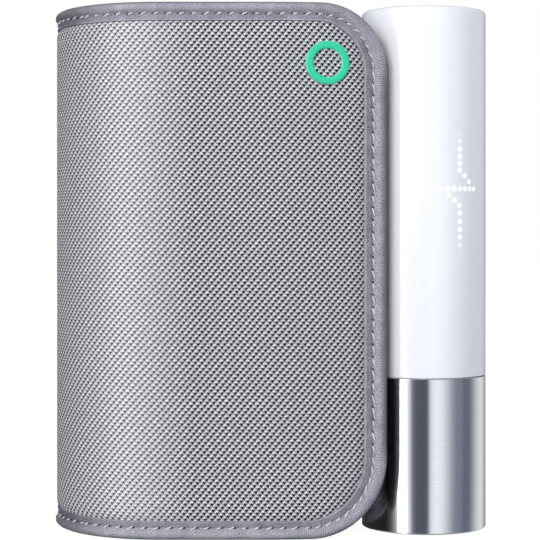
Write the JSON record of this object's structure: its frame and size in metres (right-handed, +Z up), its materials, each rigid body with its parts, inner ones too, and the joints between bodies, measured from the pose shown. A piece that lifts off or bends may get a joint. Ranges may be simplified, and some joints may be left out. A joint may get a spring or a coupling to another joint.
{
  "type": "blood pressure monitor",
  "caption": "Upper arm blood pressure monitor: a round upright unit with a lit display and an end button, and its wrap cuff rolled beside it, with a flap that opens.",
  "frame": {"origin": "middle of the footprint, on the surface that the monitor stands on", "axes": "+Z up along the round unit; -Y is the front, where the flap closes; the unit stands at +X and the far turn of the cuff at -X"},
  "size_m": [0.126, 0.0646, 0.15],
  "materials": {
    "white_shell": "satin gloss",
    "brushed_steel": "brushed around",
    "black_rubber": "matt",
    "button_plastic": "satin",
    "frame_plastic": "moulded",
    "circuit_board": "solder mask",
    "bright_metal": "plated",
    "battery_wrap": "shrink wrap",
    "light_guide": "diffusing",
    "silicone": "soft",
    "woven_cover": "heavy two-tone weave",
    "loop_lining": "brushed loop",
    "edge_tape": "ribbed tape, stitched",
    "bladder_film": "coated film",
    "green_rubber": "soft raised"
  },
  "bodies": {
    "base": {"upper_shell": "white_shell", "steel_sleeve": "brushed_steel", "seam_seal": "black_rubber", "top_cap": "white_shell", "top_cap_seal": "black_rubber", "button_switch": "frame_plastic", "switch_board": "circuit_board", "end_cap": "frame_plastic", "foot_pad": "black_rubber", "charge_port": "bright_metal", "port_board": "circuit_board", "end_screw_1": "bright_metal", "end_screw_2": "bright_metal", "chassis": "frame_plastic", "battery_cell": "battery_wrap", "battery_contact_low": "bright_metal", "battery_contact_high": "bright_metal", "main_board": "circuit_board", "display_board": "circuit_board", "light_guide": "light_guide", "pump_motor": "bright_metal", "motor_sleeve": "black_rubber", "pump_head": "frame_plastic", "air_manifold": "frame_plastic", "relief_valve": "bright_metal", "pressure_sensor": "frame_plastic", "air_hose": "silicone", "air_grommet": "silicone", "cuff_bracket": "frame_plastic", "bracket_screw_1": "bright_metal", "bracket_screw_2": "bright_metal", "bracket_screw_3": "bright_metal", "sleeve_cover": "woven_cover", "sleeve_lining": "loop_lining", "cuff_stiffener": "frame_plastic", "air_bladder": "bladder_film", "hook_patch": "loop_lining", "cuff_tape": "edge_tape", "back_cover": "woven_cover", "back_lining": "loop_lining"},
    "button": {"power_button": "button_plastic", "switch_plunger": "button_plastic"},
    "crank": {"pump_crank": "bright_metal"},
    "valve": {"valve_plunger": "bright_metal"},
    "side_back": {"side_back_cover": "woven_cover", "side_back_lining": "loop_lining", "side_back_tape_low": "edge_tape", "side_back_tape_high": "edge_tape"},
    "side_front": {"side_front_cover": "woven_cover", "side_front_lining": "loop_lining", "side_front_tape_low": "edge_tape", "side_front_tape_high": "edge_tape"},
    "flap": {"flap_cover": "woven_cover", "flap_lining": "loop_lining", "flap_tape": "edge_tape", "flap_mark": "green_rubber"}
  },
  "joints": [
    {"name": "button_press", "type": "slide", "parent": "base", "child": "button", "axis": [0, 0, -1], "range_m": [0, 0.0008], "stiffness_N_per_m": 1200, "springref_m": -0.0006},
    {"name": "crank_spin", "type": "hinge", "parent": "base", "child": "crank", "pos_m": [0.04253, -0.0021, 0.1], "axis": [0, 0, 1], "continuous": true},
    {"name": "valve_close", "type": "slide", "parent": "base", "child": "valve", "axis": [0, 0, -1], "range_m": [0, 0.001], "stiffness_N_per_m": 200, "springref_m": -0.0005},
    {"name": "wrap_back_flex", "type": "hinge", "parent": "base", "child": "side_back", "pos_m": [-0.0307, 0.03245, 0.075], "axis": [0, 0, -1], "range_deg": [0, 24]},
    {"name": "wrap_side_flex", "type": "hinge", "parent": "side_back", "child": "side_front", "pos_m": [-0.06315, 0, 0.075], "axis": [0, 0, -1], "range_deg": [0, 30]},
    {"name": "flap_open", "type": "hinge", "parent": "side_front", "child": "flap", "pos_m": [-0.0307, -0.03245, 0.075], "axis": [0, 0, -1], "range_deg": [0, 54]}
  ],
  "couplings": [
    {"joint": "wrap_side_flex", "follows": "wrap_back_flex", "ratio": 1.25},
    {"joint": "flap_open", "follows": "wrap_back_flex", "ratio": 2.25}
  ]
}
